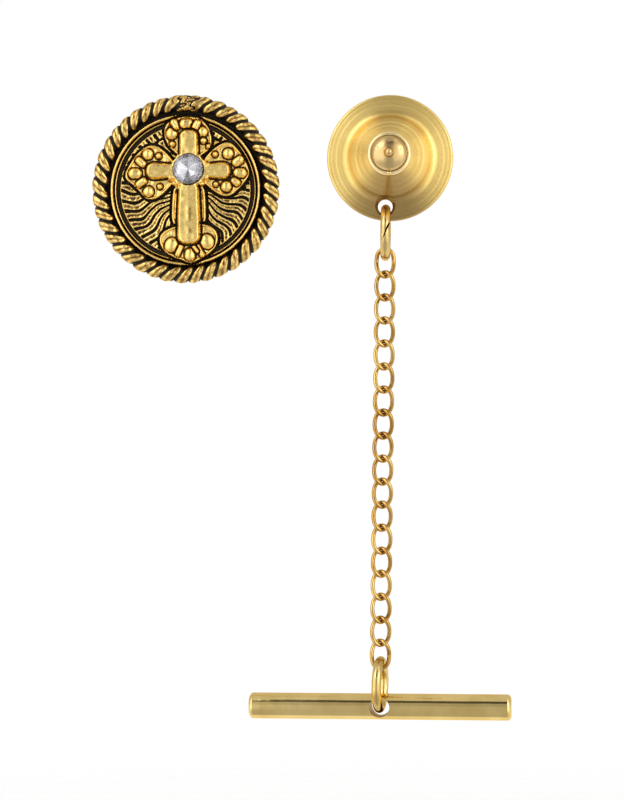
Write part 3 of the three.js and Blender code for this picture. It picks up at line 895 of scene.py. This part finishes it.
def tack_post(tack):
    """The headed pin soldered to the tack's back."""
    back = tack_back(tack)
    length = size_of("tack_pin")[2]
    post = 0.5  # radius of the pin
    pad = 0.45  # thickness of its pad
    profile = rounded([
        (0, -length), (0.1, -length + 0.06), (post, -length + 1.5, 0.5), (post, -length + 2.0),
        (post - 0.1, -length + 2.1), (post - 0.1, -length + 2.4), (post, -length + 2.5),
        (post, -pad - 0.25, 0.2), (post + 0.35, -pad, 0.2), (2.1, -pad - 0.02), (2.5, -pad, 0.1),
        (2.6, -pad + 0.1), (2.6, -0.1), (2.5, 0), (0, 0),
    ], 0.06)
    points, faces = turned(profile, 96)
    top = centre_of("tack_pin")[2] + length / 2
    obj = mesh_object("tack_post", points + np.array([back[0], back[1], top]), faces, [PIN_GOLD])
    finish_mesh(obj)
    return place(obj, "tack", "plated_pin", "tack_pin")


# ---- the clutch ----

def hole_centre():
    """Where the chain's ring goes through the brim."""
    ring = centre_of("upper_ring")
    hang = RING_RADIUS + HOLE_RADIUS - RING_WIRE - 0.05
    return ring[0] + hang * math.sin(LEAN), ring[1] + hang * math.cos(LEAN)


def clutch_plate():
    """The clutch's back: a plate with the mouth for the pin and an edge rolled over the shell."""
    brim = size_of("clutch_base")[0] / 2
    top = size_of("clutch_base")[2]
    profile = rounded([
        (0.6, PLATE), (0.6, 0.2), (0.95, 0, 0.15), (brim - 0.1, 0), (brim, 0.1, 0.1),
        (brim, top - 0.14, 0.12), (brim - 0.12, top, 0.12), (brim - 0.28, top, 0.005),
        (brim - 0.28, top - 0.1, 0.005), (brim - 0.14, top - 0.1), (brim - 0.14, PLATE),
    ], 0.03, closed=True)
    points, faces = turned(profile, 256, closed=True)
    obj = mesh_object("clutch_plate", points, faces, [SPUN])
    cut(obj, *drill(hole_centre(), HOLE_RADIUS, -1, 3))
    finish_mesh(obj)
    return place(obj, "clutch", "brushed_gold", "clutch_base")


def shell_outline():
    """The drawn shell: brim, rolled step, ringed cone and the collar round the knob."""
    edge = size_of("clutch_shell")[0] / 2
    brim = BRIM_LOW + WALL
    lip = size_of("clutch_base")[0] / 2 - 0.285
    outside = [
        (edge, BRIM_LOW), (edge, brim), (lip, brim, 0.005), (lip, brim + 0.13, 0.005),
        (4.6, brim + 0.16, 0.3), (STEP_RADIUS + 0.34, brim + 0.22, 0.25),
        (STEP_RADIUS + 0.06, 1.1, 0.25), (3.5, 1.58, 0.25), (3.3, 1.84, 0.2), (3.12, 2.14, 0.2),
        (2.9, 2.42, 0.2), (2.7, 2.78, 0.15), (2.5, 3.04, 0.15), (2.3, 3.42, 0.15),
        (2.1, 3.74, 0.12), (COLLAR_RADIUS, 3.95, 0.08), (COLLAR_RADIUS, COLLAR_TOP - 0.17, 0.17),
        (COLLAR_RADIUS - 0.17, COLLAR_TOP, 0.17), (KNOB_RADIUS + FIT + 0.02, COLLAR_TOP - 0.01, 0.03),
        (KNOB_RADIUS + FIT, COLLAR_TOP - 0.05),
    ]
    inside = [
        (KNOB_RADIUS + FIT, COLLAR_FLOOR), (CAGE_RADIUS + FIT, COLLAR_FLOOR),
        (CAGE_RADIUS + FIT, COLLAR_FLOOR - WALL), (KNOB_RADIUS, COLLAR_FLOOR - WALL),
        (COLLAR_RADIUS - WALL, 3.75), (3.2, 1.5, 0.15), (STEP_RADIUS - WALL, BRIM_LOW),
    ]
    return outside + inside


def clutch_body():
    points, faces = turned(rounded(shell_outline(), 0.03, closed=True), 360, closed=True)
    notch_at(points)
    obj = mesh_object("clutch_body", points, faces, [SPUN, COLLAR_GOLD])
    bore = rounded([(0, -1), (HOLE_RADIUS, -1), (HOLE_RADIUS, 0.5, 0.02), (HOLE_RADIUS + 0.3, 0.8, 0.02),
                    (HOLE_RADIUS + 0.3, 3), (0, 3)])
    sunk, sunk_faces = turned(bore, 64)
    cut(obj, sunk + np.array([*hole_centre(), 0]), sunk_faces)
    finish_mesh(obj)
    for polygon in obj.data.polygons:
        out = math.hypot(polygon.center.x, polygon.center.z) / MM
        high = -polygon.center.y / MM
        polygon.material_index = 1 if out < COLLAR_RADIUS + 0.05 and high > 3.98 else 0
    return place(obj, "clutch", "brushed_gold", "clutch_shell")


def notch_at(points):
    """A small seam notch in the collar's rim, at its lowest place."""
    radius = np.hypot(points[:, 0], points[:, 1])
    angle = np.arctan2(points[:, 1], points[:, 0]) + math.pi / 2
    rim = (radius > 1.66) * (radius < 2.0) * smooth(4.3, 4.6, points[:, 2])
    near = np.exp(-(angle * radius / 0.07) ** 2) * rim
    points[:, 2] -= 0.14 * near
    points[:, :2] *= (1 - 0.05 * near)[:, None]


def pull_knob():
    """The dome and its nipple, bored to sit on the cage's stem."""
    top = -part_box("knob")[0].y / MM
    base = COLLAR_FLOOR + 2 * FIT
    dome = COLLAR_TOP + KNOB_DOME
    profile = [(0, 5.75), (CAGE_RADIUS + FIT, 5.3), (CAGE_RADIUS + FIT, base), (KNOB_RADIUS, base)]
    for t in np.linspace(0, 0.8, 17):
        a = t * math.pi / 2
        profile.append((KNOB_RADIUS * math.cos(a), COLLAR_TOP + KNOB_DOME * math.sin(a)))
    profile += [(0.47, dome - 0.02)]
    for t in np.linspace(0.1, 1, 9):
        a = t * math.pi / 2
        profile.append((KNOB_TIP * math.cos(a) if t < 1 else 0, dome + (top - dome) * math.sin(a)))
    points, faces = turned(rounded(profile, 0.03, 3), 192)
    for degrees in (20, 90, 160, 270):
        a = math.radians(degrees)
        away = np.hypot(points[:, 0] - 1.1 * math.cos(a), points[:, 1] - 1.1 * math.sin(a))
        points[:, 2] -= 0.035 * np.exp(-(away / 0.09) ** 2) * (points[:, 2] > COLLAR_TOP)
    obj = mesh_object("pull_knob", points, faces, [KNOB_GOLD])
    finish_mesh(obj)
    return place(obj, "plunger", "polished_knob", "knob")


def taper_seat():
    """The ring whose taper wedges the balls against the pin."""
    low, high = 0.35, 2.0
    throat = 0.81
    mouth = throat + (high - low) * math.tan(SEAT_TAPER)
    outline = [(throat, low), (1.75, low), (1.75, high - 0.15), (1.6, high), (mouth, high)]
    profile = rounded(outline, 0.04, closed=True)
    points, faces = turned(profile, 96, closed=True)
    obj = mesh_object("taper_seat", points, faces, [STEEL])
    finish_mesh(obj)
    return place(obj, "clutch", "steel", "lock_seat")


def ball_carrier():
    """The tube with three windows for the balls and a shoulder for the spring."""
    foot = 0.47
    profile = rounded([
        (CAGE_BORE, foot), (CAGE_RADIUS, foot), (CAGE_RADIUS, 2.12), (1.3, 2.12), (1.3, 2.32),
        (CAGE_RADIUS, 2.32), (CAGE_RADIUS, 5.2), (CAGE_BORE, 5.2),
    ], 0.03, closed=True)
    points, faces = turned(profile, 96, closed=True)
    obj = mesh_object("ball_carrier", points, faces, [STEEL])
    for i in range(3):
        angle = math.pi / 2 + i * TAU / 3
        window, window_faces = drill((0, 0), BALL_RADIUS + FIT, 0, 2, 32)
        lying = np.column_stack((window[:, 2], window[:, 0], window[:, 1]))
        cut(obj, turn_z(lying, angle) + np.array([0, 0, BALL_HEIGHT]), window_faces)
    finish_mesh(obj)
    return place(obj, "plunger", "steel", "ball_cage")


def lock_ball(i):
    node = f"lock_ball_{i}"
    t = np.linspace(0, math.pi, 25)
    profile = np.column_stack((BALL_RADIUS * np.sin(t), -BALL_RADIUS * np.cos(t)))
    profile[[0, -1], 0] = 0
    points, faces = turned(profile, 48)
    obj = mesh_object(f"steel_ball_{i}", points + centre_of(node), faces, [STEEL])
    finish_mesh(obj)
    return place(obj, node, "steel", node)


def return_spring():
    """The coil between the cage's shoulder and the collar, built at one length; the real one shortens as the
    knob is pulled.
    """
    turns = 4
    coil_radius = 1.05
    wire_radius = 0.1
    low, high = 2.47, 3.9
    t = np.linspace(0, 1, 36 * turns + 1)
    angle = TAU * turns * t
    rise = low + (high - low) * t
    path = np.column_stack((coil_radius * np.cos(angle), coil_radius * np.sin(angle), rise))
    points, faces = tube(path, wire_radius, 12, False)
    obj = mesh_object("return_spring", points, faces, [STEEL])
    finish_mesh(obj)
    place(obj, "clutch", "steel", "clutch_spring")
    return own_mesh(obj)


# ---- the chain ----

def jump_ring(node, name, body, yaw, slit_at, opening):
    """A ring of round wire. Its slit, sawn across at a slant, gapes outward; its two cut ends are painted
    near-black as shade inside the slit.
    """
    steps, sides = 160, 24
    t = np.linspace(0, 1, steps)[:, None]
    around = (np.arange(sides) * TAU / sides)[None, :]
    side = RING_WIRE * np.cos(around)
    gap = math.radians(0.6) + opening * smooth(-0.8, 0.2, np.cos(around)) * smooth(-0.7, 1, np.sin(around))
    slant = 2.1 * side / RING_RADIUS * np.abs(2 * t - 1) ** 16
    angle = slit_at + gap / 2 + t * (TAU - gap) + slant
    reach = RING_RADIUS + RING_WIRE * np.sin(around)
    points = np.stack((side + 0 * angle, reach * np.sin(angle), reach * np.cos(angle)), -1).reshape(-1, 3)
    faces = grid_faces(steps, sides).tolist()
    faces.append(list(range(sides)))
    faces.append(list(range(len(points) - sides, len(points))))
    points = turn_z(turn_y(points, yaw), LEAN) + centre_of(node)
    obj = mesh_object(name, points, faces, [RING_GOLD, SLIT_SHADE])
    # The two cut ends take the near-black material: painted shade inside the slit.
    for polygon in obj.data.polygons[-2:]:
        polygon.material_index = 1
    obj.data.shade_smooth()
    obj.data.set_sharp_from_angle(angle=SHARP)
    return place(obj, body, "chain_gold", node)


def curb_link(i):
    """One curb link: a long loop of round wire, twisted about its length."""
    node = f"chain_link_{i:02d}"
    top = 0 if i == 1 else LINK_TWIST
    bottom = 0 if i == LINK_COUNT else -LINK_TWIST
    angle = np.arange(96) * TAU / 96
    end = np.sin(angle)
    side = LINK_HALF_WIDTH * np.cos(angle)
    y = LINK_HALF_WIDTH * end + (LINK_HALF_LENGTH - LINK_HALF_WIDTH) * np.tanh(2.5 * end) / math.tanh(2.5)
    share = y / LINK_HALF_LENGTH
    twist = share * np.where(share > 0, top, -bottom)
    path = np.column_stack((side * np.cos(twist), y, side * np.sin(twist)))
    points, faces = tube(path, LINK_WIRE, 20, True)
    obj = mesh_object(f"curb_link_{i:02d}", turn_z(points, LEAN) + centre_of(node), faces, [CHAIN_GOLD])
    finish_mesh(obj)
    return place(obj, f"link_{i:02d}", "chain_gold", node)


def t_bar():
    """The bar that goes through a buttonhole, drilled across for its ring."""
    radius = BAR_RADIUS
    half = BAR_LENGTH / 2
    cap = [
        (0, half), (radius - 0.3, half, 0.16), (radius - 0.05, half - 0.2, 0.12),
        (radius, half - BAR_CAP, 0.01),
    ]
    profile = rounded([(r, -h, *reach) for r, h, *reach in cap] + cap[::-1], 0.06)
    points, faces = turned(profile, 160)
    lying = np.column_stack((points[:, 2], points[:, 1], -points[:, 0]))
    obj = mesh_object("t_bar", lying, faces, [BAR_GOLD, BORE_SHADE])
    bore = rounded([(0, -3), (BAR_HOLE_BACK, -3), (BAR_HOLE_BACK, -0.4), (BAR_HOLE, 1.0),
                    (BAR_HOLE, 3), (0, 3)], 0.3)
    drilled, drilled_faces = turned(bore, 64)
    cut(obj, drilled + np.array([BAR_HOLE_SHIFT, 0, 0]), drilled_faces)
    finish_mesh(obj)
    # Faces inside the drilled hole take the dark brown material: painted shade in the hole.
    for polygon in obj.data.polygons:
        x, y, z = polygon.center / MM
        if abs(x) < 2 * BAR_HOLE and math.hypot(y, z) < radius - 0.05:
            polygon.material_index = 1
    leaning = turn_z(turn_y(drawing_points(obj), BAR_YAW), BAR_LEAN)
    moved = to_frame(leaning + centre_of("toggle_bar"))
    obj.data.vertices.foreach_set("co", moved.ravel())
    obj.data.update()
    return place(obj, "toggle_bar", "polished_gold", "toggle_bar")


# ---- stage ----

def floor():
    """A round pale floor that fades out, well below the T-bar."""
    drop, reach = 26, 170
    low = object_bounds()[0].z / MM - drop
    radii = np.linspace(0, reach, 24)
    points, faces = turned(np.column_stack((radii, 0 * radii)), 96)
    lying = np.column_stack((points[:, 0] - 7, points[:, 2] + low, points[:, 1]))
    material, g, surface = new_material("pale_floor", Roughness=0.9)
    paper = g.noise(g.place(), 60, 3)
    base = g.mix(paper, colour(0.9, 0.9, 0.89), colour(0.94, 0.94, 0.93))
    flat = g.stretched(g.place(), (1, 1, 0))
    out = g.node("ShaderNodeVectorMath", {0: flat}, operation="LENGTH").outputs["Value"]
    wire(g, surface, Base_Color=base, Alpha=g.range(out, 0.08, 0.16, 1, 0))
    obj = mesh_object("floor", lying, faces, [material])
    finish_mesh(obj)
    obj.visible_glossy = False
    obj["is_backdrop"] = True


def studio():
    """Soft light all round: bright behind and at the sides, dimmer in front, with a dark line high up."""
    world = bpy.data.worlds.new("studio")
    bpy.context.scene.world = world
    world.use_nodes = True
    g = Graph(world.node_tree)
    background = world.node_tree.nodes["Background"]
    direction = g.node("ShaderNodeTexCoord").outputs["Generated"]
    parts = g.node("ShaderNodeSeparateXYZ", {0: direction})
    x, y, z = parts.outputs
    front = g.range(y, 0.05, -0.1, 0, 1)
    upper = g.range(z, 0.15, 0.3, 0.62, 0.5)
    line = g.math("MULTIPLY", g.range(z, 0.62, 0.66, 0, 1), g.range(z, 0.88, 0.85, 0, 1))
    over = g.range(z, 0.84, 0.9, 0, 0.28)
    dim = g.math("ADD", g.math("MULTIPLY", upper, g.range(line, 0, 1, 1, 0.2)), over)
    outward = g.range(g.math("ABSOLUTE", x), 0.2, 0.42, 0, 1)
    sides = g.math("MULTIPLY", outward, g.range(z, -0.7, -0.2, 0.2, 1))
    dim = g.math("ADD", dim, g.math("MULTIPLY", sides, 1.22))
    around = g.range(z, -0.2, 0.2, 1.15, 0.8)
    glow = g.node("ShaderNodeMix", {0: front, 2: around, 3: dim}, data_type="FLOAT").outputs[0]
    seen = g.node("ShaderNodeLightPath").outputs["Is Camera Ray"]
    strength = g.node("ShaderNodeMix", {0: seen, 2: glow, 3: 1.0}, data_type="FLOAT").outputs[0]
    background.inputs["Color"].default_value = colour(1, 1, 1)
    world.node_tree.links.new(strength, background.inputs["Strength"])


def softbox(name, place_mm, size_mm, power, target):
    light = bpy.data.lights.new(name, "AREA")
    light.shape = "RECTANGLE"
    light.size, light.size_y = size_mm[0] * MM, size_mm[1] * MM
    light.energy = power
    obj = bpy.data.objects.new(name, light)
    obj.location = Vector(place_mm) * MM
    obj.rotation_euler = (Vector(target) * MM - obj.location).to_track_quat("-Z", "Y").to_euler()
    bpy.context.scene.collection.objects.link(obj)


def camera():
    """A long lens a little to the right of straight ahead, level with the middle of the object."""
    target = CAMERA_TARGET * MM
    data = bpy.data.cameras.new("camera")
    data.lens = CAMERA_LENS
    data.sensor_width = 36
    data.clip_start, data.clip_end = 0.01, 10
    obj = bpy.data.objects.new("camera", data)
    obj.location = target + Vector((math.sin(CAMERA_YAW), -math.cos(CAMERA_YAW), 0)) * CAMERA_DISTANCE * MM
    obj.rotation_euler = (target - obj.location).to_track_quat("-Z", "Y").to_euler()
    bpy.context.scene.collection.objects.link(obj)
    bpy.context.scene.camera = obj


camera()
studio()
softbox("key", (-160, -150, 170), (140, 140), 0.12, (-10, 0, -15))
softbox("fill", (190, -120, 60), (120, 160), 0.1, (-5, 0, -15))

TACK = centre_of("rope_border")
medallion(TACK)
rope_edge(TACK)
brilliant()
tack_post(TACK)
clutch_plate()
clutch_body()
pull_knob()
taper_seat()
ball_carrier()
for ball in range(1, 4):
    lock_ball(ball)
return_spring()
jump_ring("upper_ring", "ring_upper", "upper_ring", 0, math.radians(-3), math.radians(9))
for link in range(1, LINK_COUNT + 1):
    curb_link(link)
jump_ring("lower_ring", "ring_lower", "lower_ring", RING_YAW, math.radians(170), math.radians(4))
t_bar()
floor()

bpy.context.scene.view_settings.view_transform = "Standard"
